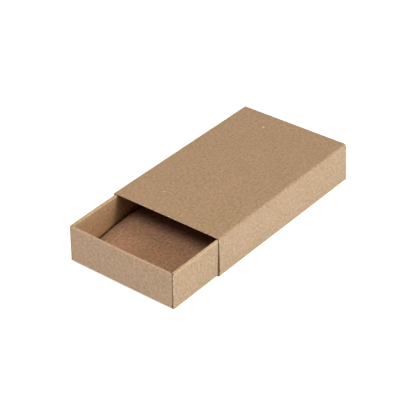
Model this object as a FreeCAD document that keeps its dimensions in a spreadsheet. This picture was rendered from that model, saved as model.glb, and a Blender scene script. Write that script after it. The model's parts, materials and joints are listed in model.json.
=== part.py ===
"""Sliding drawer gift box: a kraft-board tray that slides in an open-ended sleeve.

Two folded blanks make the whole box. Each flat panel between creases is one node, and half of
every rounded crease belongs to the panel on each side of it, so that neighbours meet face to face.
Frame: origin at the centre of the sleeve's underside, +X right, +Y to the rear, +Z up. Millimetres.
"""
import FreeCAD, Part
import os
import re

import Sketcher
from FreeCAD import Placement, Rotation, Vector

# Driving dimensions, in millimetres and degrees.
DIMENSIONS = {
    "board": 0.45,                # thickness of the folding board
    "sleeve_length": 108.0,
    "sleeve_width": 65.5,
    "sleeve_height": 21.6,
    "sleeve_crease": 1.0,         # outside radius of a sleeve crease
    "glue_flap_height": 15.0,
    "glue_flap_corner_cut": 3.0,
    "lap_setback": 0.25,          # from the table up to the left panel's cut edge
    "tray_length": 108.0,
    "pull_out": 34.0,             # how far the tray stands out of the sleeve at rest
    "side_clearance": 0.2,        # tray to sleeve, on each side
    "under_clearance": 0.1,       # tray to sleeve floor
    "over_clearance": 0.6,        # tray to sleeve roof
    "tray_crease": 0.9,           # outside radius of a crease along the tray's base
    "tab_crease": 0.8,            # outside radius of a corner tab's crease
    "tab_length": 16.0,           # corner tab, from the end wall's outer face
    "tab_corner_cut": 4.0,
    "tab_slack": 0.15,            # corner tab to the side wall's ply on each side of it
    "tab_top_gap": 0.1,           # corner tab to the side wall's rim
    "end_ply_slack": 0.1,         # between the two plies of an end wall
    "side_rim_height": 0.75,
    "end_rim_height": 0.5,
    "rim_edge_radius": 0.45,
    "corner_notch": 1.1,          # from the tray's corner to the end of each rim
    "corner_setback": 0.1,        # side wall's cut edge behind the end wall's face
    "inner_wall_gap": 0.1,        # where one inner wall ends beside another, and above the crease
    "flap_crease_gap": 0.1,       # floor flap's bent edge to the inner wall
    "flap_lay_gap": 0.05,         # floor flap to the base when pressed flat
    "flap_side_gap": 1.0,
    "flap_middle_gap": 1.0,       # between the two floor flaps when both are pressed flat
    "flap_spring_angle": 6.0,     # how far each floor flap springs up off the base
}

doc = FreeCAD.newDocument("DrawerBox")
sheet = doc.addObject("Spreadsheet::Sheet", "Sizes")
for row, (alias, number) in enumerate(DIMENSIONS.items(), start=1):
    sheet.set(f"A{row}", alias)
    sheet.set(f"B{row}", str(number))
    sheet.setAlias(f"B{row}", alias)
doc.recompute()

# Sizes that follow from the driving dimensions.
FITS = {
    "tray_width": "(sleeve_width - 3 * board - 2 * side_clearance)",
    "tray_height": "(sleeve_height - 2 * board - under_clearance - over_clearance)",
    "end_wall": "(2 * board + end_ply_slack)",
    "side_wall": "(3 * board + 2 * tab_slack)",
    "tab_inset": "(board + tab_slack)",
    "tray_x": "(board / 2)",
    "tray_y": "((tray_length - sleeve_length) / 2 - pull_out)",
    "tray_z": "(board + under_clearance)",
    "flap_pivot_inset": "(end_wall + flap_crease_gap + board / 2)",
    "flap_pivot_z": "(board + flap_lay_gap + board / 2)",
}


def expression(text):
    """Spell out the fits in a formula and point its names at the sheet."""
    while any(re.search(rf"\b{name}\b", text) for name in FITS):
        for name, formula in FITS.items():
            text = re.sub(rf"\b{name}\b", formula, text)
    for alias in DIMENSIONS:
        text = re.sub(rf"\b{alias}\b", f"Sizes.{alias}", text)
    return text


def size(text):
    """The value that a formula has now, in millimetres or degrees."""
    return float(sheet.evalExpression(expression(text)))


def add_sketch(body, name, plane):
    """An empty sketch on one of the body's own origin planes."""
    sketch = body.newObject("Sketcher::SketchObject", name)
    planes = [item for item in body.Origin.OriginFeatures if item.Role == plane]
    sketch.AttachmentSupport = [(planes[0], "")]
    sketch.MapMode = "FlatFace"
    return sketch


def bind_constraint(sketch, constraint, name, formula):
    """Add a dimension to a sketch and tie it to the sheet."""
    index = sketch.addConstraint(constraint)
    sketch.renameConstraint(index, name)
    sketch.setExpression(f"Constraints.{name}", expression(formula))


def pad_both_ways(body, sketch, name, length):
    """Pad a sketch by half the length to each side of its plane."""
    pad = body.newObject("PartDesign::Pad", name)
    pad.Profile = sketch
    pad.SideType = "Symmetric"
    pad.setExpression("Length", expression(length))
    sketch.Visibility = False
    return pad


def sketch_rectangle(sketch, across, along):
    """A rectangle centred on the sketch's origin."""
    half_x = size(across) / 2
    half_y = size(along) / 2
    corners = [Vector(x * half_x, y * half_y, 0) for x, y in ((-1, -1), (1, -1), (1, 1), (-1, 1))]
    for start, end in zip(corners, corners[1:] + corners[:1]):
        sketch.addGeometry(Part.LineSegment(start, end), False)
    for line in range(4):
        sketch.addConstraint(Sketcher.Constraint("Coincident", line, 2, (line + 1) % 4, 1))
    sketch.addConstraint([
        Sketcher.Constraint("Horizontal", 0),
        Sketcher.Constraint("Horizontal", 2),
        Sketcher.Constraint("Vertical", 1),
        Sketcher.Constraint("Vertical", 3),
        Sketcher.Constraint("Symmetric", 0, 1, 1, 2, -1, 1),
    ])
    bind_constraint(sketch, Sketcher.Constraint("DistanceX", 0, 1, 0, 2, 2 * half_x), "across", across)
    bind_constraint(sketch, Sketcher.Constraint("DistanceY", 1, 1, 1, 2, 2 * half_y), "along", along)


def add_half_crease(body, edge, span, radius, length):
    """The half of a 90 degree crease that belongs to a panel: board bent 45 degrees off its plane.

    edge is +x, -x, +y or -y: the side of the flat panel, span wide, that the crease runs along.
    """
    side = 1 if edge[0] == "+" else -1
    sketch = add_sketch(body, f"Crease{'Plus' if side > 0 else 'Minus'}{edge[1].upper()}",
                        "XZ_Plane" if edge[1] == "x" else "YZ_Plane")
    outside = size(radius)
    inside = outside - size("board")
    seat = side * size(span) / 2
    centre = Vector(seat, outside, 0)
    turn = Vector(side, -1, 0).normalize()
    down = Vector(0, -1, 0)

    def arc(reach):
        ends = [centre + down * reach, centre + turn * reach]
        middle = centre + (down + turn).normalize() * reach
        return Part.Arc(ends[0], middle, ends[1])

    outer = sketch.addGeometry(arc(outside), False)
    inner = sketch.addGeometry(arc(inside), False)
    seat_line = sketch.addGeometry(Part.LineSegment(centre + down * outside, centre + down * inside), False)
    mitre = sketch.addGeometry(Part.LineSegment(centre + turn * outside, centre + turn * inside), False)
    # A circular arc always runs anticlockwise, so its first point depends on the side.
    first, last = (1, 2) if side > 0 else (2, 1)
    sketch.addConstraint([
        Sketcher.Constraint("Coincident", outer, 3, inner, 3),
        Sketcher.Constraint("Coincident", seat_line, 1, outer, first),
        Sketcher.Constraint("Coincident", seat_line, 2, inner, first),
        Sketcher.Constraint("Coincident", mitre, 1, outer, last),
        Sketcher.Constraint("Coincident", mitre, 2, inner, last),
        Sketcher.Constraint("Vertical", seat_line),
        Sketcher.Constraint("PointOnObject", outer, 3, seat_line),
        Sketcher.Constraint("PointOnObject", outer, 3, mitre),
        Sketcher.Constraint("PointOnObject", outer, first, -1),
    ])
    radius_now = Sketcher.Constraint("Radius", outer, outside)
    bind_constraint(sketch, radius_now, "outside", radius)
    bind_constraint(sketch, Sketcher.Constraint("Radius", inner, inside), "inside", f"{radius} - board")
    reach_x = [-1, 1, outer, 3] if side > 0 else [outer, 3, -1, 1]
    bind_constraint(sketch, Sketcher.Constraint("DistanceX", *reach_x, abs(seat)), "seat", f"({span}) / 2")
    mitre_drop = f"({radius}) * sqrt(0.5)"
    drop = Sketcher.Constraint("DistanceY", outer, last, outer, 3, size(mitre_drop))
    bind_constraint(sketch, drop, "mitre_drop", mitre_drop)
    pad_both_ways(body, sketch, sketch.Name + "Pad", length)


def place(body, turn, x="0", y="0", z="0"):
    """Turn a body into place and tie its position to the sheet."""
    body.Placement = Placement(Vector(), turn)
    for axis, formula in zip("xyz", (x, y, z)):
        body.setExpression(f"Placement.Base.{axis}", expression(formula))


def start_body(label):
    """A body whose name and label are the node's name."""
    body = doc.addObject("PartDesign::Body", label)
    body.Label = label
    return body


def add_panel(label, across, along, creases=(), corner_cut=None):
    """A flat panel of board, outer face down and centred on its own origin, with its half creases.

    creases lists (edge, radius, length). corner_cut bevels the two free corners on the +x side.
    """
    body = start_body(label)
    outline = add_sketch(body, "Outline", "XY_Plane")
    sketch_rectangle(outline, across, along)
    flat = body.newObject("PartDesign::Pad", "Flat")
    flat.Profile = outline
    flat.setExpression("Length", expression("board"))
    outline.Visibility = False
    if corner_cut:
        doc.recompute()
        free_side = size(across) / 2
        corners = []
        for number, corner in enumerate(flat.Shape.Edges, start=1):
            ends = [vertex.Point for vertex in corner.Vertexes]
            at_free_side = all(abs(point.x - free_side) < 1e-6 for point in ends)
            if at_free_side and abs(ends[0].z - ends[1].z) > 1e-6:
                corners.append(f"Edge{number}")
        bevel = body.newObject("PartDesign::Chamfer", "FreeCorners")
        bevel.Base = (flat, corners)
        bevel.setExpression("Size", expression(corner_cut))
        body.Tip = bevel
    for edge, radius, length in creases:
        span = across if edge[1] == "x" else along
        add_half_crease(body, edge, span, radius, length)
    return body


def add_rim(label, across, height, length):
    """A roll-over fold seen as one strip along the top of a double wall, its upper edges rounded."""
    body = start_body(label)
    section = add_sketch(body, "Section", "XZ_Plane")
    sketch_rectangle(section, across, height)
    strip = pad_both_ways(body, section, "Strip", length)
    doc.recompute()
    top = size(height) / 2
    upper_edges = []
    for number, edge in enumerate(strip.Shape.Edges, start=1):
        ends = [vertex.Point for vertex in edge.Vertexes]
        at_top = all(abs(point.z - top) < 1e-6 for point in ends)
        if at_top and abs(ends[0].y - ends[1].y) > 1e-6:
            upper_edges.append(f"Edge{number}")
    rounding = body.newObject("PartDesign::Fillet", "RolledEdges")
    rounding.Base = (strip, upper_edges)
    rounding.setExpression("Radius", expression("rim_edge_radius"))
    body.Tip = rounding
    return body


def add_floor_flap(label):
    """A floor flap with its bent edge rounded about the pivot at its origin, sprung up off the base."""
    body = start_body(label)
    section = add_sketch(body, "Section", "YZ_Plane")
    section.setExpression("AttachmentOffset.Rotation.Angle", expression("flap_spring_angle"))
    length = "tray_length / 2 - flap_pivot_inset - flap_middle_gap / 2"
    reach = size(length)
    half = size("board") / 2
    bead = section.addGeometry(Part.Arc(Vector(0, half, 0), Vector(-half, 0, 0), Vector(0, -half, 0)), False)
    under = section.addGeometry(Part.LineSegment(Vector(0, -half, 0), Vector(reach, -half, 0)), False)
    edge = section.addGeometry(Part.LineSegment(Vector(reach, -half, 0), Vector(reach, half, 0)), False)
    upper = section.addGeometry(Part.LineSegment(Vector(reach, half, 0), Vector(0, half, 0)), False)
    section.addConstraint([
        Sketcher.Constraint("Coincident", bead, 3, -1, 1),
        Sketcher.Constraint("Coincident", bead, 2, under, 1),
        Sketcher.Constraint("Coincident", under, 2, edge, 1),
        Sketcher.Constraint("Coincident", edge, 2, upper, 1),
        Sketcher.Constraint("Coincident", upper, 2, bead, 1),
        Sketcher.Constraint("Horizontal", under),
        Sketcher.Constraint("Horizontal", upper),
        Sketcher.Constraint("Vertical", edge),
        Sketcher.Constraint("PointOnObject", bead, 1, -2),
        Sketcher.Constraint("PointOnObject", bead, 2, -2),
    ])
    bind_constraint(section, Sketcher.Constraint("Radius", bead, half), "half_board", "board / 2")
    bind_constraint(section, Sketcher.Constraint("DistanceX", under, 1, under, 2, reach), "reach", length)
    pad_both_ways(body, section, "Flap", "tray_width - 2 * (side_wall + flap_side_gap)")
    return body


FLAT = Rotation()
FACE_DOWN = Rotation(Vector(0, 1, 0), 180)          # panel's outer face turned up
FACE_RIGHT = Rotation(Vector(0, 1, 0), -90)         # outer face to +X, panel's +x side up
FACE_LEFT = Rotation(Vector(0, 1, 0), 90)           # outer face to -X, panel's -x side up
HALF_TURN = Rotation(Vector(0, 0, 1), 180)

# --- Sleeve: one blank wound into a tube, its seam lapped at the lower left ---------------------
SLEEVE_FOLD = "sleeve_crease"

top = add_panel("sleeve_top_panel", "sleeve_width - 2 * sleeve_crease", "sleeve_length",
                [("+x", SLEEVE_FOLD, "sleeve_length"), ("-x", SLEEVE_FOLD, "sleeve_length")])
place(top, FACE_DOWN, z="sleeve_height")

right = add_panel("sleeve_right_panel", "sleeve_height - 2 * sleeve_crease", "sleeve_length",
                  [("+x", SLEEVE_FOLD, "sleeve_length"), ("-x", SLEEVE_FOLD, "sleeve_length")])
place(right, FACE_RIGHT, x="sleeve_width / 2", z="sleeve_height / 2")

bottom = add_panel("sleeve_bottom_panel", "sleeve_width - board - 2 * sleeve_crease", "sleeve_length",
                   [("+x", SLEEVE_FOLD, "sleeve_length"), ("-x", SLEEVE_FOLD, "sleeve_length")])
place(bottom, FLAT, x="board / 2")

# The left panel hangs from the top one and ends in a cut edge over the glue flap.
left = add_panel("sleeve_left_panel", "sleeve_height - sleeve_crease - lap_setback", "sleeve_length",
                 [("-x", SLEEVE_FOLD, "sleeve_length")])
place(left, FACE_LEFT, x="-sleeve_width / 2", z="(sleeve_height - sleeve_crease + lap_setback) / 2")

# The glue flap stands up from the bottom panel, one board inside the left panel.
glue_flap = add_panel("sleeve_glue_flap", "glue_flap_height - sleeve_crease", "sleeve_length",
                      [("-x", SLEEVE_FOLD, "sleeve_length")], corner_cut="glue_flap_corner_cut")
place(glue_flap, Rotation(Vector(0, 0, 1), 180) * FACE_RIGHT,
      x="board - sleeve_width / 2", z="(glue_flap_height + sleeve_crease) / 2")

# --- Tray base and side walls ------------------------------------------------------------------
TRAY_MIDDLE_Y = "tray_y"
BASE_SIDE_FOLD = "tray_length - 2 * tray_crease"
END_FACE = "tray_width - 2 * (tab_inset + tab_crease)"

base = add_panel("tray_base_panel", "tray_width - 2 * tray_crease", "tray_length - 2 * tray_crease",
                 [("+x", "tray_crease", BASE_SIDE_FOLD), ("-x", "tray_crease", BASE_SIDE_FOLD),
                  ("+y", "tray_crease", END_FACE), ("-y", "tray_crease", END_FACE)])
place(base, FLAT, x="tray_x", y=TRAY_MIDDLE_Y, z="tray_z")

SIDE_OUTER_HEIGHT = "tray_height - tray_crease - side_rim_height"
SIDE_INNER_HEIGHT = "tray_height - board - side_rim_height"
for name, side, facing, base_edge in (("left", -1, FACE_LEFT, "+x"), ("right", 1, FACE_RIGHT, "-x")):
    outer = add_panel(f"tray_{name}_outer_wall", SIDE_OUTER_HEIGHT, "tray_length - 2 * corner_setback",
                      [(base_edge, "tray_crease", BASE_SIDE_FOLD)])
    place(outer, facing, x=f"tray_x + {side} * tray_width / 2", y=TRAY_MIDDLE_Y,
          z="tray_z + (tray_crease + tray_height - side_rim_height) / 2")

    rim = add_rim(f"tray_{name}_rim", "side_wall", "side_rim_height", "tray_length - 2 * corner_notch")
    place(rim, FLAT, x=f"tray_x + {side} * (tray_width - side_wall) / 2", y=TRAY_MIDDLE_Y,
          z="tray_z + tray_height - side_rim_height / 2")

    # The inner ply stands on the base between the two end walls.
    inner = add_panel(f"tray_{name}_inner_wall", SIDE_INNER_HEIGHT,
                      "tray_length - 2 * (end_wall + inner_wall_gap)")
    place(inner, facing, x=f"tray_x + {side} * (tray_width / 2 - side_wall + board)", y=TRAY_MIDDLE_Y,
          z="tray_z + (board + tray_height - side_rim_height) / 2")

# --- Tray end walls, their corner tabs and floor flaps -----------------------------------------
END_OUTER_HEIGHT = "(tray_height - tray_crease - end_rim_height)"
END_MIDDLE_Z = "(tray_crease + tray_height - end_rim_height) / 2"
TAB_HEIGHT = f"2 * (tray_height - side_rim_height - tab_top_gap - {END_MIDDLE_Z})"
END_INNER_HEIGHT = "(tray_height - end_rim_height - tray_crease - inner_wall_gap)"
FACE_FRONT = Rotation(Vector(1, 0, 0), -90)         # outer face to -Y, panel's +y side down
FRONT_TO_REAR = {"front": (-1, FACE_FRONT), "rear": (1, HALF_TURN * FACE_FRONT)}

for name, (end, facing) in FRONT_TO_REAR.items():
    outer_y = f"tray_y + {end} * tray_length / 2"
    outer = add_panel(f"tray_{name}_outer_wall", END_FACE, END_OUTER_HEIGHT,
                      [("+y", "tray_crease", END_FACE),
                       ("+x", "tab_crease", TAB_HEIGHT), ("-x", "tab_crease", TAB_HEIGHT)])
    place(outer, facing, x="tray_x", y=outer_y, z=f"tray_z + {END_MIDDLE_Z}")

    rim = add_rim(f"tray_{name}_rim", "end_wall", "end_rim_height", "tray_width - 2 * corner_notch")
    place(rim, Rotation(Vector(0, 0, 1), 90), x="tray_x", y=f"{outer_y} - {end} * end_wall / 2",
          z="tray_z + tray_height - end_rim_height / 2")

    inner = add_panel(f"tray_{name}_inner_wall", "tray_width - 2 * (side_wall + inner_wall_gap)",
                      END_INNER_HEIGHT)
    place(inner, facing, x="tray_x", y=f"{outer_y} - {end} * (end_wall - board)",
          z="tray_z + (tray_crease + inner_wall_gap + tray_height - end_rim_height) / 2")

    # Each corner tab folds back from the end wall and sits between the side wall's plies.
    for side_name, side in (("left", -1), ("right", 1)):
        tab_fold = "-x"
        tab = add_panel(f"tray_{name}_{side_name}_corner_tab", "tab_length - tab_crease", TAB_HEIGHT,
                        [(tab_fold, "tab_crease", TAB_HEIGHT)], corner_cut="tab_corner_cut")
        inward = Vector(0, -end, 0)
        toward_middle = Vector(-side, 0, 0)
        turn = Rotation(inward, toward_middle.cross(inward), toward_middle, "XZY")
        place(tab, turn, x=f"tray_x + {side} * (tray_width / 2 - tab_inset)",
              y=f"{outer_y} - {end} * (tab_length + tab_crease) / 2", z=f"tray_z + {END_MIDDLE_Z}")

    flap = add_floor_flap(f"tray_{name}_floor_flap")
    place(flap, FLAT if end < 0 else HALF_TURN, x="tray_x", y=f"{outer_y} - {end} * flap_pivot_inset",
          z="tray_z + flap_pivot_z")

doc.recompute()

# --- Check every object, then write one STEP file per node -------------------------------------
faults = [item.Label for item in doc.Objects if {"Invalid", "Error"} & set(item.State)]
if faults:
    raise RuntimeError(f"objects that failed: {faults}")

os.makedirs("parts", exist_ok=True)
bodies = [item for item in doc.Objects if item.TypeId == "PartDesign::Body"]
for body in bodies:
    if body.Shape.isNull() or not body.Shape.isValid() or len(body.Shape.Solids) != 1:
        raise RuntimeError(f"{body.Label} is not one valid solid")
for body in bodies:
    body.Shape.exportStep(f"parts/{body.Label}.step")
    box = body.Shape.BoundBox
    print(f"{body.Label:32s} {body.Shape.Volume:9.2f} mm3  x {box.XMin:7.2f} {box.XMax:7.2f}"
          f"  y {box.YMin:7.2f} {box.YMax:7.2f}  z {box.ZMin:6.2f} {box.ZMax:6.2f}")
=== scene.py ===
import json
import math
from collections import namedtuple

import bmesh
import bpy
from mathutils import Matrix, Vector


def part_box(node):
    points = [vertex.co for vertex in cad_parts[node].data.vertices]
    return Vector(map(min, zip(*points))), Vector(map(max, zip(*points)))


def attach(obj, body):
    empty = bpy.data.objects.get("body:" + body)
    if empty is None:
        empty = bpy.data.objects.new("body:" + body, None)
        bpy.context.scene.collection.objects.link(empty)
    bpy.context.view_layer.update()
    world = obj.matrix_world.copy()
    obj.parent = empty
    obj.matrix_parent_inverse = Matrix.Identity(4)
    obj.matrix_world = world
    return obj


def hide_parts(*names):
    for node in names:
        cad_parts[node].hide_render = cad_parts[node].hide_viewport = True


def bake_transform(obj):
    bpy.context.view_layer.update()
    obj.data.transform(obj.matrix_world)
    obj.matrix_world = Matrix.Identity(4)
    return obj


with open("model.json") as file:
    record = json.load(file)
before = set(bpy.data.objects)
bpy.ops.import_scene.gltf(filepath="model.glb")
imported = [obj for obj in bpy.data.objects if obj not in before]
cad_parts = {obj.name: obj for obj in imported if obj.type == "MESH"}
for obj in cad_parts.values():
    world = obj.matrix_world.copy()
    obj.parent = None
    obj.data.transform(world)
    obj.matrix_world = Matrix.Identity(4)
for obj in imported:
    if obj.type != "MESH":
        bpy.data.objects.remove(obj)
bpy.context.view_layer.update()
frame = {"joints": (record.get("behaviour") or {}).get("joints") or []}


# --- Sleeve ------------------------------------------------------------------------------------
# One sheet of brown kraft folding board, scored, wound into a tube that is open at both ends, and
# glued. The glue flap stands inside the left panel, whose own cut edge ends just above the table.
MM = 0.001
BOARD = 0.45 * MM
CUT_SOFTENING = 0.05 * MM      # how round the corners of a cut edge are
CUT_FACET = 0.29               # share of it from either side to the middle of such a corner
HALF_CORNER = math.radians(20)  # a cut outline has a corner where it bends by twice this or more
MITRE_LIMIT = 0.5
CREASE_MARK = 0.35 * MM        # how far the wear of a crease reaches onto the flat board
FOLD_STEPS = 8
STATION_SPACING = 3 * MM
EDGE_ROW = 0.006               # share of a strip between its cut edge and the first row of points
SAME_POINT = 0.001 * MM
RUN_DECIMALS = 5               # runs in millimetres that agree to this many places are one
LEAST = 1e-12                  # stands in for a length of nothing where one divides
OUTSIDE, REVERSE, CUT_EDGE = 0, 1, 2  # the finishes in a sheet's own order

# A station is a point on the convex face of a folded sheet, seen end on: its place, the unit
# direction into the board, how far along the flat sheet it lies, and how worn its crease is.
Station = namedtuple("Station", "across up in_across in_up run wear")


def creases(corners):
    """For each corner (across, up, radius, wear): its turn, setback, first run and last run."""
    found = []
    run = 0.0
    setback = 0.0
    for number, corner in enumerate(corners[1:], start=1):
        before, here = Vector(corners[number - 1][:2]), Vector(corner[:2])
        run += (here - before).length - setback
        turn = 0.0
        if number < len(corners) - 1:
            turn = (here - before).angle(Vector(corners[number + 1][:2]) - here)
        setback = corner[2] * math.tan(turn / 2)
        run -= setback
        found.append((turn, setback, run, run + turn * corner[2]))
        run += turn * corner[2]
    return found


def fold(corners):
    """Fold a sheet at its corners; the board lies to the left of the path."""
    marks = creases(corners)
    points = []
    setback = 0.0
    run = 0.0
    for number, (turn, next_setback, first, last) in enumerate(marks):
        start, end = Vector(corners[number][:2]), Vector(corners[number + 1][:2])
        ahead = (end - start).normalized()
        inward = Vector((-ahead.y, ahead.x))
        start = start + ahead * setback
        end = end - ahead * next_setback
        length = (end - start).length
        shares = [0.0, 1.0]
        if length > 3 * CREASE_MARK:
            pieces = math.ceil(length / STATION_SPACING)
            margin = CREASE_MARK / length
            shares[1:1] = [margin + (1 - 2 * margin) * step / pieces for step in range(pieces + 1)]
        for share in shares if length > SAME_POINT else (0.0,):
            points.append((start.lerp(end, share), inward, run + share * length))
        radius = corners[number + 1][2]
        centre = end + inward * radius
        for step in range(1, FOLD_STEPS if turn * radius else 0):
            angle = turn * step / FOLD_STEPS
            spoke = ahead * math.sin(angle) - inward * math.cos(angle)
            points.append((centre + spoke * radius, -spoke, first + angle * radius))
        setback = next_setback
        run = last
    stations = []
    for point, inward, at in points:
        wear = 0.0
        for (turn, _, first, last), corner in zip(marks, corners[1:]):
            away = max(first - at, at - last, 0.0)
            wear = max(wear, corner[3] * max(0.0, 1 - away / CREASE_MARK))
        stations.append(Station(*point, *inward, at, wear))
    return stations


def at_run(stations, run):
    """The station at any run along a folded profile."""
    for left, right in zip(stations, stations[1:]):
        if left.run <= run <= right.run:
            share = (run - left.run) / max(right.run - left.run, LEAST)
            return Station(*(a + (b - a) * share for a, b in zip(left, right)))
    return stations[0] if run < stations[0].run else stations[-1]


def at_key(keys, run):
    """Straight-line interpolation through (run, value) keys."""
    if run <= keys[0][0]:
        return keys[0][1]
    for (left, low), (right, high) in zip(keys, keys[1:]):
        if run <= right:
            return low + (high - low) * (run - left) / max(right - left, LEAST)
    return keys[-1][1]


def even(count):
    """Shares of the way across a strip, with a row close to each cut edge."""
    return [0.0, EDGE_ROW, *(step / count for step in range(1, count)), 1 - EDGE_ROW, 1.0]


class Sheet:
    """One die-cut sheet while it is folded. Strips that meet share their points."""

    def __init__(self, name, grain_shift, convex_is_outside=True):
        self.name = name
        self.grain_shift = Vector(grain_shift)
        self.sides = (OUTSIDE, REVERSE) if convex_is_outside else (REVERSE, OUTSIDE)
        self.mesh = bmesh.new()
        self.inward = self.mesh.verts.layers.float_vector.new("inward")
        self.wear = self.mesh.verts.layers.float.new("crease")
        # painted shade inside the box, from 0 to 1
        self.painted_shade = self.mesh.verts.layers.float.new("painted_shade")
        self.blank = self.mesh.loops.layers.uv.new("blank")

    def strip(self, profile, low_cut, high_cut, rows, stand, lay):
        """Sweep a folded profile between its two cut ends, and return the stations used.

        stand turns (across, up, along) into a point, and lay turns (run, along) into a place on
        the flat blank.
        """
        keys = [run for run, _ in (*low_cut, *high_cut) if 0 <= run <= profile[-1].run]
        runs = sorted({round(run / MM, RUN_DECIMALS) for run in (*keys, *(s.run for s in profile))})
        stations = [at_run(profile, run * MM) for run in runs]
        grid = []
        for station in stations:
            low = at_key(low_cut, station.run)
            high = at_key(high_cut, station.run)
            line = []
            for share in rows:
                along = low + (high - low) * share
                deeper = (station.across + station.in_across, station.up + station.in_up)
                outer = Vector(stand(station.across, station.up, along))
                inner = Vector(stand(*deeper, along))
                vertex = self.mesh.verts.new(outer)
                vertex[self.inward] = (inner - outer).normalized()
                vertex[self.wear] = station.wear
                line.append((vertex, Vector(lay(station.run, along)) + self.grain_shift))
            grid.append(line)
        for near, far in zip(grid, grid[1:]):
            for row in range(len(rows) - 1):
                corners = (near[row], far[row], far[row + 1], near[row + 1])
                face = self.mesh.faces.new([vertex for vertex, _ in corners])
                for loop, (_, place) in zip(face.loops, corners):
                    loop[self.blank].uv = place
        return stations

    def cut_directions(self):
        """The way off the sheet at each point of its cut outline, and whether it is a corner."""
        ways = {}
        for edge in self.mesh.edges:
            if edge.is_boundary:
                ahead = (edge.verts[1].co - edge.verts[0].co).normalized()
                middle = (edge.verts[0].co + edge.verts[1].co) / 2
                off = ahead.cross(edge.verts[0][self.inward]).normalized()
                if off.dot(middle - edge.link_faces[0].calc_center_median()) < 0:
                    off = -off
                for vertex in edge.verts:
                    ways.setdefault(vertex, []).append(off)
        directions = {}
        for vertex, both in ways.items():
            off = sum(both, Vector()).normalized()
            meeting = max(MITRE_LIMIT, off.dot(both[0]))
            directions[vertex] = (off / meeting, meeting < math.cos(HALF_CORNER))
        return directions

    def make(self, settle=None, painted_shade_at=None, outside=None):
        """Give the folded face its thickness and softened cut edges, and make the piece.

        The second argument says how far a point lies inside the box, where painted shade darkens the
        board to a deeper brown, and settle moves each point to where the worn sheet has settled.
        """
        mesh = self.mesh
        bmesh.ops.remove_doubles(mesh, verts=mesh.verts, dist=SAME_POINT)
        convex = list(mesh.faces)
        outline = [edge.link_loops[0] for edge in mesh.edges if edge.is_boundary]
        outline = [(loop.vert, loop.link_loop_next.vert, loop[self.blank].uv.copy(),
                    loop.link_loop_next[self.blank].uv.copy()) for loop in outline]
        directions = self.cut_directions()
        soft = CUT_SOFTENING
        facet = CUT_FACET * soft
        profile = [(facet, facet), (0, soft), (0, BOARD - soft), (facet, BOARD - facet)]
        bands = len(profile) + 1
        twin = {}
        rings = {}
        for vertex in list(mesh.verts):
            place, inward = vertex.co.copy(), vertex[self.inward].copy()
            off, corner = directions.get(vertex, (Vector(), False))
            ring = [vertex]
            if vertex in directions:
                ring += [mesh.verts.new(place - off * back + inward * depth) for back, depth in profile]
            vertex.co = place - off * soft
            twin[vertex] = mesh.verts.new(place - off * soft + inward * BOARD)
            ring.append(twin[vertex])
            for point in ring[1:]:
                point[self.wear] = vertex[self.wear]
            rings[vertex] = (ring, corner)
        for here, there, from_here, from_there in outline:
            ring_here, ring_there = rings[here][0], rings[there][0]
            for layer in range(bands):
                face = mesh.faces.new((ring_there[layer], ring_here[layer],
                                       ring_here[layer + 1], ring_there[layer + 1]))
                face.material_index = CUT_EDGE
                places = (from_there, from_here, from_here, from_there)
                for loop, place, down in zip(face.loops, places, (layer, layer, layer + 1, layer + 1)):
                    loop[self.blank].uv = place + Vector((BOARD, BOARD)) * down / bands
            for layer in (0, bands):
                mesh.edges.get((ring_here[layer], ring_there[layer])).smooth = False
            for vertex in (here, there):
                ring, corner = rings[vertex]
                for upper, lower in zip(ring, ring[1:]) if corner else ():
                    mesh.edges.get((upper, lower)).smooth = False
        for face in convex:
            face.material_index = self.sides[0]
            places = {loop.vert: loop[self.blank].uv.copy() for loop in face.loops}
            corners = list(reversed(face.verts))
            back = mesh.faces.new([twin[vertex] for vertex in corners])
            back.material_index = self.sides[1]
            for loop, vertex in zip(back.loops, corners):
                loop[self.blank].uv = places[vertex]
        bmesh.ops.recalc_face_normals(mesh, faces=mesh.faces)
        for face in mesh.faces:
            face.smooth = True
        for vertex in mesh.verts:
            # painted shade: how far each point lies inside the box
            vertex[self.painted_shade] = painted_shade_at(*vertex.co) if painted_shade_at else 0.0
            vertex.co = settle(*vertex.co) if settle else vertex.co
        mesh.verts.layers.float_vector.remove(self.inward)
        data = bpy.data.meshes.new(self.name)
        mesh.to_mesh(data)
        mesh.free()
        for finish in (outside or kraft_outside, kraft_reverse, kraft_cut_edge):
            data.materials.append(finish)
        piece = bpy.data.objects.new(self.name, data)
        bpy.context.collection.objects.link(piece)
        return piece


class Wire:
    """A node's output that takes part in Python arithmetic: each operator adds a Math node."""

    def __init__(self, finish, socket):
        self.finish = finish
        self.socket = socket

    def maths(self, operation, first, second, clamp=False):
        settings = {"operation": operation, "use_clamp": clamp}
        return self.finish.node("ShaderNodeMath", settings, {0: first, 1: second})

    def __add__(self, other):
        return self.maths("ADD", self, other)

    __radd__ = __add__

    def __mul__(self, other):
        return self.maths("MULTIPLY", self, other)

    __rmul__ = __mul__

    def __sub__(self, other):
        return self.maths("SUBTRACT", self, other)

    def __rsub__(self, other):
        return self.maths("SUBTRACT", other, self)

    def above(self, edge, softness):
        """0 below the edge, rising to 1 over the softness."""
        return self.maths("MULTIPLY", self - edge, 1 / softness, clamp=True)

    def below(self, edge, softness):
        """1 below the edge, falling to 0 over the softness."""
        return self.maths("MULTIPLY", edge - self, 1 / softness, clamp=True)


LOT_SOFTNESS = 0.02            # of the edge between the cells that hold a speck and the others


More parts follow.
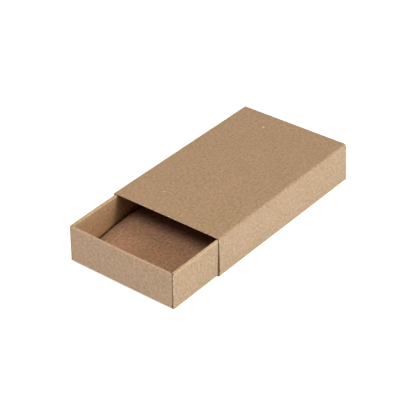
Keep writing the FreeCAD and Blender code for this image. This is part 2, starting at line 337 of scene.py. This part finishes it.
class Finish:
    """One material, made by adding nodes and wiring them together."""

    def __init__(self, material):
        material.use_nodes = True
        self.material = material
        self.tree = material.node_tree
        self.tree.nodes.clear()

    def node(self, kind, settings=None, inputs=None, output=0):
        """Add a node: its settings first, then the values or links of its sockets."""
        node = self.tree.nodes.new(kind)
        for name, value in (settings or {}).items():
            setattr(node, name, value)
        for name, value in (inputs or {}).items():
            if isinstance(value, Wire):
                self.tree.links.new(value.socket, node.inputs[name])
            else:
                node.inputs[name].default_value = value
        return Wire(self, node.outputs[output]) if node.outputs else None

    def laid(self, place, size, longer, turn):
        """The flat blank measured in features of this size, longer along a turned axis."""
        place = self.node("ShaderNodeMapping", {}, {"Vector": place, "Rotation": (0, 0, turn)})
        scale = (1 / size, 1 / (size * longer), 1.0)
        return self.node("ShaderNodeMapping", {}, {"Vector": place, "Scale": scale})

    def noise(self, place, size, detail=2.0, roughness=0.5, longer=1.0, turn=0.0):
        """Noise about size across, in metres, less its mean."""
        inputs = {"Vector": self.laid(place, size, longer, turn), "Scale": 1.0,
                  "Detail": detail, "Roughness": roughness}
        return self.node("ShaderNodeTexNoise", {"noise_dimensions": "2D"}, inputs) - 0.5

    def specks(self, place, size, radius, share, longer=1.0, turn=0.0):
        """Sparse specks: one in each chosen cell, radius as a share of the cell."""
        flat = {"voronoi_dimensions": "2D"}
        inputs = {"Vector": self.laid(place, size, longer, turn), "Scale": 1.0}
        near = self.node("ShaderNodeTexVoronoi", flat, inputs, "Distance")
        cell = self.node("ShaderNodeTexVoronoi", flat, inputs, "Color")
        lot = self.node("ShaderNodeSeparateColor", {}, {"Color": cell})
        return near.below(radius, radius / 2) * lot.below(share, LOT_SOFTNESS)

    def bent(self, place, size, amount):
        """The flat blank pushed about by noise, so that fibres and shives lie irregularly."""
        inputs = {"Vector": self.laid(place, size, 1.0, 0.0), "Scale": 1.0, "Detail": 1.0}
        push = self.node("ShaderNodeTexNoise", {"noise_dimensions": "2D"}, inputs, "Color")
        inputs = {0: push, 1: (amount, amount, 0.0), 2: place}
        return self.node("ShaderNodeVectorMath", {"operation": "MULTIPLY_ADD"}, inputs)

    def blend(self, amount, first, second, way="MIX"):
        """Mix two colours: 0, 6 and 7 are the sockets for the amount and the colours."""
        settings = {"data_type": "RGBA", "blend_type": way}
        return self.node("ShaderNodeMix", settings, {0: amount, 6: first, 7: second}, 2)

    def dim(self, colour, strength):
        """Multiply a colour by a number that varies over the surface."""
        return self.node("ShaderNodeVectorMath", {"operation": "SCALE"}, {0: colour, "Scale": strength})


def shown(red, green, blue):
    """A colour as a screen shows it, 0 to 255, in a shader's linear values."""
    linear = []
    for level in (red / 255, green / 255, blue / 255):
        linear.append(level / 12.92 if level <= 0.04045 else ((level + 0.055) / 1.055) ** 2.4)
    return (*linear, 1.0)


PALE_FIBRE = shown(222, 196, 166)
DARK_SHIVE = shown(118, 88, 64)
PALE_FLECK = shown(238, 216, 190)
# Painted shade at the ends of the creases, on the cut edges.
CREASE_END_SHADE = shown(92, 62, 44)
# Painted shade: the faces inside the tray are multiplied by this deeper brown.
PAINTED_INNER_SHADE = (0.93, 0.755, 0.595, 1.0)

# How far across the board's features are on the flat blank.
CLOUD = 14 * MM
FORMATION = 4.5 * MM
MOTTLE = 1.5 * MM
GRAIN = 1.4 * MM
FIBRE = 0.2 * MM

# How much they shift the board's hue from the middle one, and how much they lighten or darken it.
MIDDLE_HUE = 0.5
FORMATION_HUE = 2.2
CLOUD_HUE = 1.5
CLOUD_TONE = 0.45
FORMATION_TONE = 0.5
MOTTLE_TONE = 0.6
GRAIN_TONE = 1.75
FIBRE_TONE = 0.8

# Fibres and shives are bent by noise: its size, and how far it moves them.
FELT_BEND = (1.1 * MM, 0.9 * MM)
SHIVE_BEND = (0.5 * MM, 0.35 * MM)

# Fibres lie two ways: how much longer than wide they are, and their turn.
FIBRE_LAYS = ((5, 0.35), (4, -0.9))

# Specks: the cell that each one is scattered in, its radius as a share of the cell, the share of
# cells that hold one, how much longer than wide it is, and its turn.
SHIVE = (2.6 * MM, 0.10, 0.35, 1.6, 0.5)
HAIRS = ((0.8 * MM, 0.12, 0.12, 4, 0.6), (0.9 * MM, 0.11, 0.12, 5, -0.5))
SHIVE_STRENGTH = 0.3
HAIR_STRENGTH = 0.4

# Pale flecks on the sleeve: place on its blank, size, how much longer than wide, and turn.
FLECKS = (
    ((0.5441, 0.1416, 0.0), 0.8 * MM, 1.0, 0.0),
    ((0.5465, 0.0616, 0.0), 0.42 * MM, 3.0, -0.9),
)
FLECK_SOFTNESS = 0.5
FLECK_AND_SHADE_STRENGTH = 0.9            # of a fleck, and of the painted shade at a crease's end

# At a cut edge, painted shade darkens a crease's end where its wear lies between these two, and on a
# face the crease is worn pale, unevenly with the grain.
CREASE_SHADE_FROM = 0.05
CREASE_SHADE_TO = 0.3
CREASE_SHADE_SOFTNESS = 0.05
WORN_STRENGTH = 0.75
WORN_GRAIN = 1.2

# How far the grain and its fibres stand out, and how rough and glossy the board is.
RELIEF = 0.4 * MM
RELIEF_STRENGTH = 0.5
GRAIN_RELIEF = 2.0
HAIR_RELIEF = 0.4
FIBRE_RELIEF = 0.3
ROUGHNESS = 0.75
GRAIN_ROUGHNESS = 0.3
GLOSS = 0.3


def kraft(name, yellow_side, red_side, contrast, cut=False):
    """Uncoated brown kraft: cloudy formation, fine felted grain, dark shives and pale fibres.

    Worn creases are pale on a face; where a sharp crease meets a cut edge painted shade darkens it,
    and painted shade deepens the brown inside the box.
    """
    finish = Finish(bpy.data.materials.new(name))
    place = finish.node("ShaderNodeUVMap", {"uv_map": "blank"})
    felted = finish.bent(place, *FELT_BEND)
    cloud = finish.noise(place, CLOUD)
    formation = finish.noise(place, FORMATION)
    mottle = finish.noise(place, MOTTLE, detail=1)
    grain = finish.noise(place, GRAIN, detail=1.5)
    fibres, crossing = (finish.noise(felted, FIBRE, detail=1, longer=longer, turn=turn)
                        for longer, turn in FIBRE_LAYS)
    fibres = fibres + crossing
    hue = MIDDLE_HUE + formation * FORMATION_HUE + cloud * CLOUD_HUE
    board = finish.blend(finish.node("ShaderNodeClamp", {}, {"Value": hue}), yellow_side, red_side)
    tone = cloud * CLOUD_TONE + formation * FORMATION_TONE + mottle * MOTTLE_TONE
    tone = tone + grain * GRAIN_TONE + fibres * FIBRE_TONE
    board = finish.dim(board, 1.0 + tone * contrast)
    shives = finish.specks(finish.bent(place, *SHIVE_BEND), *SHIVE)
    board = finish.blend(shives * SHIVE_STRENGTH, board, DARK_SHIVE)
    hairs, crossing = (finish.specks(felted, *hair) for hair in HAIRS)
    hairs = hairs + crossing
    board = finish.blend(hairs * HAIR_STRENGTH, board, PALE_FIBRE)
    for middle, size, longer, turn in FLECKS:
        off = finish.node("ShaderNodeVectorMath", {"operation": "SUBTRACT"}, {0: place, 1: middle})
        off = finish.laid(off, size, longer, turn)
        near = finish.node("ShaderNodeVectorMath", {"operation": "LENGTH"}, {0: off}, "Value") + grain
        board = finish.blend(near.below(1.0, FLECK_SOFTNESS) * FLECK_AND_SHADE_STRENGTH, board, PALE_FLECK)
    # Painted shade: inside the tray the board is darkened to a deeper brown.
    painted_shade = finish.node("ShaderNodeAttribute", {"attribute_name": "painted_shade"}, {}, "Fac")
    board = finish.blend(painted_shade, board, PAINTED_INNER_SHADE, "MULTIPLY")
    crease = finish.node("ShaderNodeAttribute", {"attribute_name": "crease"}, {}, "Fac")
    # Painted shade: on a cut edge, the end of a sharp crease is darkened.
    if cut:
        crease_end_shade = crease.above(CREASE_SHADE_FROM, CREASE_SHADE_SOFTNESS)
        crease_end_shade = crease_end_shade * crease.below(CREASE_SHADE_TO, CREASE_SHADE_SOFTNESS)
        board = finish.blend(crease_end_shade * FLECK_AND_SHADE_STRENGTH, board, CREASE_END_SHADE)
    else:
        board = finish.blend(crease * (WORN_STRENGTH + grain * WORN_GRAIN), board, PALE_FIBRE)
    relief = grain * GRAIN_RELIEF + mottle + hairs * HAIR_RELIEF + fibres * FIBRE_RELIEF
    bump = finish.node("ShaderNodeBump", {}, {
        "Height": relief, "Strength": RELIEF_STRENGTH, "Distance": RELIEF})
    surface = finish.node("ShaderNodeBsdfPrincipled", {}, {
        "Base Color": board, "Roughness": ROUGHNESS + grain * GRAIN_ROUGHNESS,
        "Specular IOR Level": GLOSS, "Normal": bump})
    finish.node("ShaderNodeOutputMaterial", {}, {"Surface": surface})
    return finish.material


kraft_outside = kraft(
    "kraft_outside", yellow_side=shown(180, 157, 128), red_side=shown(179, 152, 131), contrast=0.37)
kraft_reverse = kraft(
    "kraft_reverse", yellow_side=shown(176, 142, 106), red_side=shown(172, 134, 104), contrast=0.85)
kraft_cut_edge = kraft(
    "kraft_cut_edge", yellow_side=shown(216, 190, 160), red_side=shown(208, 178, 150), contrast=0.8,
    cut=True)

SLEEVE_FOLD = 1.0 * MM
SLEEVE_SOFT_FOLD = 1.4 * MM    # the crease between the top and the right panel
SLEEVE_WEAR = 0.12
SOFT_FOLD_WEAR = SLEEVE_WEAR / 3
SLEEVE_GRAIN = (0.4, 0.1)      # where the sheet lies in the kraft's pattern, in metres
GLUE_FLAP_CUT = 3.0 * MM
OUT_OF_SQUARE = 0.55 * MM      # how far the right and bottom panels reach past the top at the mouth
RIGHT_LEAN_FRONT = 0.7 * MM    # how far the right panel's foot leans out at the mouth
RIGHT_LEAN_REAR = 1.1 * MM     # and at the rear
HELD_HEIGHT = 6.0 * MM         # the tray holds the panel in at the mouth, up to about this height
HELD_SHARE = 0.3               # share of the lean that is left at the very foot
LONG_ROWS = 36                 # rows of points along the sleeve's and the tray's length
top_low, top_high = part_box("sleeve_top_panel")
lap_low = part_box("sleeve_left_panel")[0]
flap_low, flap_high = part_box("sleeve_glue_flap")
sleeve_left = lap_low[0]
sleeve_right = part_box("sleeve_right_panel")[1][0]
sleeve_front = top_low[1]
sleeve_rear = top_high[1]
sleeve_top = top_high[2]


def lean_sleeve(x, y, z):
    """The sprung tube racks: its right panel leans out, less so at the foot of the mouth."""
    share = (y - sleeve_front) / (sleeve_rear - sleeve_front)
    held = min(1.0, HELD_SHARE + z / HELD_HEIGHT)
    lean = RIGHT_LEAN_FRONT * (1 - share) * held + RIGHT_LEAN_REAR * share
    return (x + lean * (1 - z / sleeve_top) * max(0.0, x / sleeve_right), y, z)


sleeve_corners = [
    (flap_low[0], flap_high[2], 0, 0),
    (flap_low[0], 0, SLEEVE_FOLD, SLEEVE_WEAR),
    (sleeve_right, 0, SLEEVE_FOLD, SLEEVE_WEAR),
    (sleeve_right, sleeve_top, SLEEVE_SOFT_FOLD, SOFT_FOLD_WEAR),
    (sleeve_left, sleeve_top, SLEEVE_FOLD, SLEEVE_WEAR),
    (sleeve_left, lap_low[2], 0, 0),
]
right_crease = creases(sleeve_corners)[2][2:]


def stand_lengthwise(across, up, along):
    """A profile seen from the front stands in the cross section and runs along the box."""
    return (across, along, up)


def lay_lengthwise(run, along):
    """On the flat blank, the run goes across and the length goes up."""
    return (run, along)


sleeve_sheet = Sheet("sleeve_board", SLEEVE_GRAIN)
sleeve_sheet.strip(
    fold(sleeve_corners),
    [(0, sleeve_front + GLUE_FLAP_CUT), (GLUE_FLAP_CUT, sleeve_front - OUT_OF_SQUARE),
     (right_crease[0], sleeve_front - OUT_OF_SQUARE), (right_crease[1], sleeve_front)],
    [(0, sleeve_rear - GLUE_FLAP_CUT), (GLUE_FLAP_CUT, sleeve_rear)],
    even(LONG_ROWS), stand_lengthwise, lay_lengthwise)
sleeve = sleeve_sheet.make(lean_sleeve)
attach(sleeve, "sleeve")
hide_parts("sleeve_top_panel", "sleeve_right_panel", "sleeve_bottom_panel",
            "sleeve_left_panel", "sleeve_glue_flap")


# --- Tray --------------------------------------------------------------------------------------
# One cross-shaped sheet of the same board. The side walls fold up from the base and roll over at
# their rims; the end walls do the same, and their tabs slide in between the side walls' plies.
# The left corner tabs are tight between their plies, and the right ones are loose.
TRAY_FOLD = 0.55 * MM
SIDE_RIM_FOLD = 0.5 * MM
TIGHT_TAB_FOLD = 0.5 * MM
LOOSE_TAB_FOLD = 0.8 * MM
TIGHT_TAB_SHIFT = 0.12 * MM
LOOSE_TAB_GAP = 0.28 * MM
LOOSE_TAB_DRIFT = 0.25 * MM
TIGHT_TAB_RISE = 0.25 * MM
LOOSE_TAB_RISE = -0.5 * MM

# How worn the creases are: 0 is fresh board, and 1 is rubbed pale.
BASE_WEAR = 0.12
CORNER_WEAR = 0.35
END_RIM_WEAR = 0.85
END_RIM_OUTER_WEAR = END_RIM_WEAR * 0.5
LEFT_RIM_WEAR = 0.6
RIGHT_RIM_WEAR = 1.0
RIGHT_RIM_OUTER_WEAR = RIGHT_RIM_WEAR * 0.6

# What the die cuts off: the shoulders at the ends of the rims, the tabs' corners, and the feet
# where a wall meets the base's corner.
SHOULDER = 1.15 * MM
LEFT_SHOULDER = 0.8 * MM
RIGHT_SHOULDER = 1.5 * MM
SHOULDER_LEFT = 0.4            # share of an end wall's shoulder that is left halfway over its rim
TAB_CUT = 4.0 * MM
SIDE_FOOT_CUT = 0.2 * MM
END_FOOT_CUT = 0.15 * MM

# How the folded tray has settled. A push fades with height down the wall, and along it.
LEFT_RIM_BULGE = 0.62 * MM
BULGE_FOOT = 13.5 * MM
CORNER_PUSHED = Vector((0.5, 0.05, 0.5)) * MM
CORNER_FADE = 25 * MM
FOOT_PUSHED = 0.3              # share of the push that reaches the corner's foot
RIGHT_PLY_LEAN = 0.35 * MM
RIGHT_RIM_TILT = 0.2 * MM
RIM_SLACK = 0.005 * MM         # keeps an end rim's two folds from meeting in one line
# Painted shade fades in over this distance below the rims.
PAINTED_SHADE_FADE = 1.2 * MM        # below the rims, where the shaded brown inside begins
TRAY_GRAIN = (1.3, 0.7)
left_rim_low, left_rim_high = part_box("tray_left_rim")
tray_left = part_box("tray_left_outer_wall")[0][0]
tray_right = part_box("tray_right_outer_wall")[1][0]
tray_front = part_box("tray_front_outer_wall")[0][1]
tray_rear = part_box("tray_rear_outer_wall")[1][1]
tray_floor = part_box("tray_base_panel")[0][2]
tray_top = left_rim_high[2]
tray_centre = (tray_left + tray_right) / 2
side_reach = (tray_right - tray_left) / 2
side_wall = left_rim_high[0] - left_rim_low[0]
side_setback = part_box("tray_left_outer_wall")[0][1] - tray_front
inner_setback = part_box("tray_left_inner_wall")[0][1] - tray_front
inner_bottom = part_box("tray_left_inner_wall")[0][2]
front_ply_low, front_ply_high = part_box("tray_front_inner_wall")
end_wall = front_ply_high[1] - tray_front
end_rim_fold = end_wall / 2 - RIM_SLACK
tab_low, tab_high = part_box("tray_front_right_corner_tab")
tab_reach = tab_high[0] - tray_centre
tab_length = tab_high[1] - tray_front
ply_half = front_ply_high[0] - tray_centre
base_half = side_reach - TRAY_FOLD


def shoulder(run, way, start, end, steps=6):
    """Keys along a die-cut quarter round: run moves by the radius while the cut goes in."""
    keys = []
    for step in range(steps + 1):
        turn = math.pi / 2 * step / steps
        keys.append((run + way * SHOULDER * math.sin(turn),
                     start + (end - start) * (1 - math.cos(turn))))
    return sorted(keys)


def shares_of(line):
    """Each station's share of the way along a stretch of stations."""
    return [(s.run - line[0].run) / (line[-1].run - line[0].run) for s in line]


def between(line, first, last):
    """The stations from one run to another, as near as their rounding tells."""
    slack = 10 ** (1 - RUN_DECIMALS) * MM
    return [s for s in line if first - slack <= s.run <= last + slack]


tray_sheet = Sheet("tray_board", TRAY_GRAIN)
side_corners = [
    (tray_left + side_wall, inner_bottom, 0, 0),
    (tray_left + side_wall, tray_top, SIDE_RIM_FOLD, LEFT_RIM_WEAR),
    (tray_left, tray_top, SIDE_RIM_FOLD, LEFT_RIM_WEAR),
    (tray_left, tray_floor, TRAY_FOLD, BASE_WEAR),
    (tray_right, tray_floor, TRAY_FOLD, BASE_WEAR),
    (tray_right, tray_top - RIGHT_RIM_TILT, SIDE_RIM_FOLD, RIGHT_RIM_OUTER_WEAR),
    (tray_right - side_wall, tray_top + RIGHT_RIM_TILT, SIDE_RIM_FOLD, RIGHT_RIM_WEAR),
    (tray_right - side_wall - RIGHT_PLY_LEAN, inner_bottom, 0, 0),
]
_, left_rim, left_base, right_base, right_rim, _, _ = [mark[2:] for mark in creases(side_corners)]
side_cut = [
    (left_rim[0], inner_setback),
    *shoulder(left_rim[1] + SHOULDER / 2, -1, side_setback, inner_setback),
    (left_base[1] - SIDE_FOOT_CUT, side_setback),
    (left_base[1], TRAY_FOLD),
    (right_base[0], TRAY_FOLD),
    (right_base[0] + SIDE_FOOT_CUT, side_setback),
    *shoulder(right_rim[0] - SHOULDER / 2, 1, side_setback, inner_setback),
    (right_rim[1], inner_setback),
]
side_line = tray_sheet.strip(
    fold(side_corners),
    [(run, tray_front + inset) for run, inset in side_cut],
    [(run, tray_rear - inset) for run, inset in side_cut],
    even(LONG_ROWS), stand_lengthwise, lay_lengthwise)
base_rows = shares_of(between(side_line, left_base[1], right_base[0]))
blank_middle = (left_base[1] + right_base[0]) / 2

end_corners = [
    (end_wall, front_ply_low[2] - tray_floor, 0, 0),
    (end_wall, tray_top - tray_floor, end_rim_fold, END_RIM_WEAR),
    (0, tray_top - tray_floor, end_rim_fold, END_RIM_OUTER_WEAR),
    (0, 0, TRAY_FOLD, BASE_WEAR),
    (TRAY_FOLD, 0, 0, 0),
]
inner_rim, outer_rim, end_base, _ = [mark[2:] for mark in creases(end_corners)]
tab_top_run = outer_rim[1]
tab_bottom_run = end_base[0] - (tab_low[2] - tray_floor - TRAY_FOLD)


def end_cut(reach, radius, drift, rounding):
    """Half the end wall's width along its run: its shoulder, corner crease and foot."""
    half = reach - radius
    return [
        *shoulder(inner_rim[0] - SHOULDER / 2, 1, ply_half, half - rounding),
        (outer_rim[0], half - rounding),
        ((outer_rim[0] + outer_rim[1]) / 2, half - SHOULDER_LEFT * rounding),
        (tab_top_run, half),
        (tab_bottom_run, half - drift),
        (end_base[0], base_half - END_FOOT_CUT),
        (end_base[1], base_half),
    ]


# The end walls sit a little to the left: the tabs are tight there, and on the right they drift
# in towards the foot, so a dark seam opens beside the side wall. Each corner has its side, how far
# out its crease lies, the crease's radius, its drift, its shoulder and how far the tab has risen.
corners_of_tray = (
    (-1, tab_reach + TIGHT_TAB_SHIFT, TIGHT_TAB_FOLD, 0.0, LEFT_SHOULDER, TIGHT_TAB_RISE),
    (1, tab_reach - LOOSE_TAB_GAP, LOOSE_TAB_FOLD, LOOSE_TAB_DRIFT, RIGHT_SHOULDER, LOOSE_TAB_RISE),
)
left_cut, right_cut = (end_cut(*corner[1:5]) for corner in corners_of_tray)
for end, edge in ((1, tray_front), (-1, tray_rear)):
    def stand_wall(depth, up, along):
        return (tray_centre + along, edge + end * depth, tray_floor + up)

    def lay_wall(run, along):
        return (blank_middle + along, edge + end * (TRAY_FOLD + run - end_base[1]))

    wall_line = tray_sheet.strip(fold(end_corners), [(run, -half) for run, half in left_cut], right_cut,
                                 base_rows, stand_wall, lay_wall)
    tab_line = between(wall_line, tab_top_run, tab_bottom_run)
    top, bottom = tab_line[0].up, tab_line[-1].up
    for side, reach, radius, drift, _, rise in corners_of_tray:
        def stand_tab(across, depth, up):
            inset = drift * (top - up) / (top - bottom)
            return (tray_centre + side * (across - inset), edge + end * depth, tray_floor + up)

        def lay_tab(run, up):
            return (blank_middle + side * (reach - radius + run), edge - end * (up - TRAY_FOLD))

        tab_profile = fold([
            (reach - radius, 0, 0, 0),
            (reach, 0, radius, CORNER_WEAR),
            (reach, tab_length, 0, 0),
        ])
        tab_end = tab_profile[-1].run
        fold_end = radius * math.pi / 2
        tray_sheet.strip(
            tab_profile,
            [(0, top), (fold_end, top + rise), (tab_end - TAB_CUT, top + rise),
             (tab_end, top - TAB_CUT)],
            [(0, bottom), (tab_end - TAB_CUT, bottom), (tab_end, bottom + TAB_CUT)],
            shares_of(tab_line), stand_tab, lay_tab)


def settle_tray(x, y, z):
    """The rolled left rim bulges outwards, and the loose front left corner is pushed in."""
    left = max(0.0, (tray_centre - x) / side_reach)
    corner = max(0.0, 1 - (y - tray_front) / CORNER_FADE)
    bulge = max(0.0, (z - BULGE_FOOT) / (tray_top - BULGE_FOOT)) ** 2 * (1 - corner)
    push = left * corner * (FOOT_PUSHED + (1 - FOOT_PUSHED) * (z - tray_floor) / tray_top)
    return Vector((x - left * bulge * LEFT_RIM_BULGE, y, z)) + push * CORNER_PUSHED


def shade_inside_tray(x, y, z):
    """1 on the faces that look into the tray, fading to 0 at its rims: how much painted shade darkens
    them.
    """
    ply = side_wall - BOARD / 2
    across = min(x - tray_left - ply, tray_right - ply - x)
    along = min(y - tray_front, tray_rear - y) - end_wall + BOARD / 2
    return min(1.0, max(0.0, (tray_top - z) / PAINTED_SHADE_FADE)) if min(across, along) > 0 else 0.0


tray = tray_sheet.make(settle_tray, shade_inside_tray)
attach(tray, "tray")
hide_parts("tray_base_panel", *(
    f"tray_{wall}_{part}" for wall in ("left", "right", "front", "rear")
    for part in ("outer_wall", "rim", "inner_wall")))
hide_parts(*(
    f"tray_{end}_{side}_corner_tab" for end in ("front", "rear") for side in ("left", "right")))


# --- Floor flaps -------------------------------------------------------------------------------
# Each end's inner ply runs on into a loose floor flap that is creased at the wall's foot. The
# crease springs the thin flap up off the base, and it bows.
FLAP_FOLD = 0.5 * MM
FLAP_WEAR = 0.3
FLAP_BOW = 1.7 * MM
FLAP_ASIDE = 0.6 * MM          # the flaps sit a little to the right, clear of the left wall
FLAP_SHOULDER = 0.1 * MM       # from the crease's start to where the flap begins to widen
FLAP_ROWS = 20
FLAP_GRAIN = (2.2, 1.1)
FLAP_GRAIN_APART = 0.3         # from the middle of the two flaps' places in the pattern to each
# Painted light: the flaps' top face is the reverse board tinted pinker and bluer for the light that
# falls on the tray's floor.
kraft_flap_light_tint = kraft(
    "kraft_flap_light_tint", yellow_side=shown(170, 141, 118), red_side=shown(170, 135, 120), contrast=0.5)
pivots = {joint["name"]: joint["pos_m"] for joint in frame["joints"] if joint["type"] == "hinge"}
for name, joint, end, edge in (("front_floor_flap", "front_flap_crease", 1, tray_front),
                               ("rear_floor_flap", "rear_flap_crease", -1, tray_rear)):
    low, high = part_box("tray_" + name)
    pivot = Vector(pivots[joint])
    free_end = abs((high if end > 0 else low)[1] - edge)
    pivot_depth = abs(pivot.y - edge)
    reach = free_end - pivot_depth
    slope = (high[2] - BOARD - pivot.z + BOARD / 2) / reach
    under = pivot.z - BOARD / 2

    def stand_flap(depth, up, along):
        return (tray_centre + FLAP_ASIDE + along, edge + end * depth, up)

    def bow_flap(x, y, z):
        share = min(1.0, max(0.0, (end * (y - edge) - end_wall) / reach))
        return (x, y, z + FLAP_BOW * math.sin(math.pi * share))

    foot = end_wall - BOARD
    corners = [
        (foot, front_ply_low[2], 0, 0),
        (foot, under - slope * (pivot_depth - foot), FLAP_FOLD, FLAP_WEAR),
        (free_end, under + slope * reach, 0, 0),
    ]
    bend = creases(corners)[0]
    flap_half = (high[0] - low[0]) / 2
    cut = [(0, ply_half), (bend[2] + FLAP_SHOULDER, ply_half), (bend[3], flap_half)]
    grain_shift = (FLAP_GRAIN[0] + FLAP_GRAIN_APART * end, FLAP_GRAIN[1])
    flap_sheet = Sheet(name + "_board", grain_shift, convex_is_outside=False)
    flap_sheet.strip(fold(corners), [(run, -half) for run, half in cut], cut, even(FLAP_ROWS),
                     stand_flap, lambda run, along: (along, run))
    flap = flap_sheet.make(bow_flap, outside=kraft_flap_light_tint)
    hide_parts("tray_" + name)
    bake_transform(flap)


# --- Table -------------------------------------------------------------------------------------
# A plain white sweep under the box, a hair below it. It looks white to the camera and in
# reflections, and keeps the soft shadow that the box drops on it.
TABLE_DROP = 0.02 * MM
TABLE_REACH = 3.0
TABLE_WHITE = (0.85, 0.85, 0.85, 1)
NEAR_GLOW = 0.72               # beside the box, where its shadow has to show
GLOW_RISES_FROM = 0.2          # so far from the box's middle the glow starts to rise to 1
GLOW_RISES_OVER = 0.4
table_mesh = bpy.data.meshes.new("table")
table_corners = [(x * TABLE_REACH, y * TABLE_REACH, -TABLE_DROP)
                 for x, y in ((-1, -1), (1, -1), (1, 1), (-1, 1))]
table_mesh.from_pydata(table_corners, [], [(0, 1, 2, 3)])
table = bpy.data.objects.new("table", table_mesh)
bpy.context.collection.objects.link(table)


def seen_directly(finish):
    """1 for rays that show the table or the room itself, and 0 for the light they shed."""
    camera, glossy, through = (finish.node("ShaderNodeLightPath", {}, {}, name) for name in (
        "Is Camera Ray", "Is Glossy Ray", "Is Transmission Ray"))
    return camera.maths("MAXIMUM", camera.maths("MAXIMUM", camera, glossy), through)


white = Finish(bpy.data.materials.new("white_sweep"))
paint = white.node("ShaderNodeBsdfDiffuse", {}, {"Color": TABLE_WHITE})
where = white.node("ShaderNodeTexCoord", {}, {}, "Object")
distance = white.node("ShaderNodeVectorMath", {"operation": "LENGTH"}, {0: where}, "Value")
far = distance.above(GLOW_RISES_FROM, GLOW_RISES_OVER)
level = far * (1 - NEAR_GLOW) + NEAR_GLOW
glow = white.node("ShaderNodeEmission", {}, {"Color": level, "Strength": 1.0})
both = white.node("ShaderNodeAddShader", {}, {0: paint, 1: glow})
white.node("ShaderNodeOutputMaterial", {}, {
    "Surface": white.node("ShaderNodeMixShader", {}, {0: seen_directly(white), 1: paint, 2: both})})
table_mesh.materials.append(white.material)


# --- Studio light ------------------------------------------------------------------------------
# Three lamps on the right, a broad low one, a small one that draws the shade of the sleeve into the
# tray and a warm high one; a warm softbox overhead; and low fills from the front and the rear.
LAMP_DISTANCE = 1.2
ROOM_LIGHT = 0.02

# Each lamp's name, degrees round from the front, degrees up, width in metres, watts and colour.
softboxes = (
    ("right_low_softbox", 95, 10, 0.6, 9.7, (0.80, 0.915, 1.0)),
    ("right_small_softbox", 94, 22, 0.15, 3.9, (1.0, 0.985, 0.93)),
    ("right_high_softbox", 105, 45, 0.6, 3.25, (1.0, 0.70, 0.28)),
    ("overhead_softbox", -30, 62, 0.6, 7.85, (1.0, 0.835, 0.64)),
    ("front_softbox", -3, 5, 0.35, 6.6, (0.82, 0.875, 1.0)),
    ("rear_fill", -125, 14, 0.6, 2.0, (1.0, 1.0, 1.0)),
)


def direction(azimuth, elevation):
    """The unit vector that points so many degrees round from the front, and so many up."""
    turn, lift = math.radians(azimuth), math.radians(elevation)
    return Vector((math.sin(turn) * math.cos(lift), -math.cos(turn) * math.cos(lift), math.sin(lift)))


for name, azimuth, elevation, width, watts, colour in softboxes:
    lamp = bpy.data.lights.new(name, "AREA")
    lamp.shape = "SQUARE"
    lamp.size = width
    lamp.energy = watts
    lamp.color = colour
    away = direction(azimuth, elevation)
    stand = bpy.data.objects.new(name, lamp)
    stand.location = away * LAMP_DISTANCE
    stand.rotation_mode = "QUATERNION"
    stand.rotation_quaternion = away.to_track_quat("Z", "Y")
    bpy.context.collection.objects.link(stand)

room = bpy.data.worlds.new("room")
bpy.context.scene.world = room
air = Finish(room)
ambient = air.node("ShaderNodeBackground", {}, {"Color": (1, 1, 1, 1), "Strength": ROOM_LIGHT})
backdrop = air.node("ShaderNodeBackground", {}, {"Color": (1, 1, 1, 1), "Strength": 1.0})
air.node("ShaderNodeOutputWorld", {}, {
    "Surface": air.node("ShaderNodeMixShader", {}, {0: seen_directly(air), 1: ambient, 2: backdrop})})


# --- Camera ------------------------------------------------------------------------------------
# A long lens from the front right, looking down on the half-open box, so that the sleeve's top,
# its right side and the inside of the tray all show.
VIEW_AZIMUTH = 37.647
VIEW_ELEVATION = 33.851
CAMERA_PLACE = (0.35763, -0.48439, 0.40086)
SENSOR_WIDTH = 36
FOCAL_LENGTH = 122.149
NEAREST_SEEN = 0.01
lens = bpy.data.cameras.new("camera")
lens.sensor_width = SENSOR_WIDTH
lens.lens = FOCAL_LENGTH
lens.clip_start = NEAREST_SEEN
camera = bpy.data.objects.new("camera", lens)
camera.location = CAMERA_PLACE
camera.rotation_mode = "QUATERNION"
camera.rotation_quaternion = direction(VIEW_AZIMUTH, VIEW_ELEVATION).to_track_quat("Z", "Y")
bpy.context.collection.objects.link(camera)
bpy.context.scene.camera = camera
bpy.context.scene.view_settings.view_transform = "Standard"
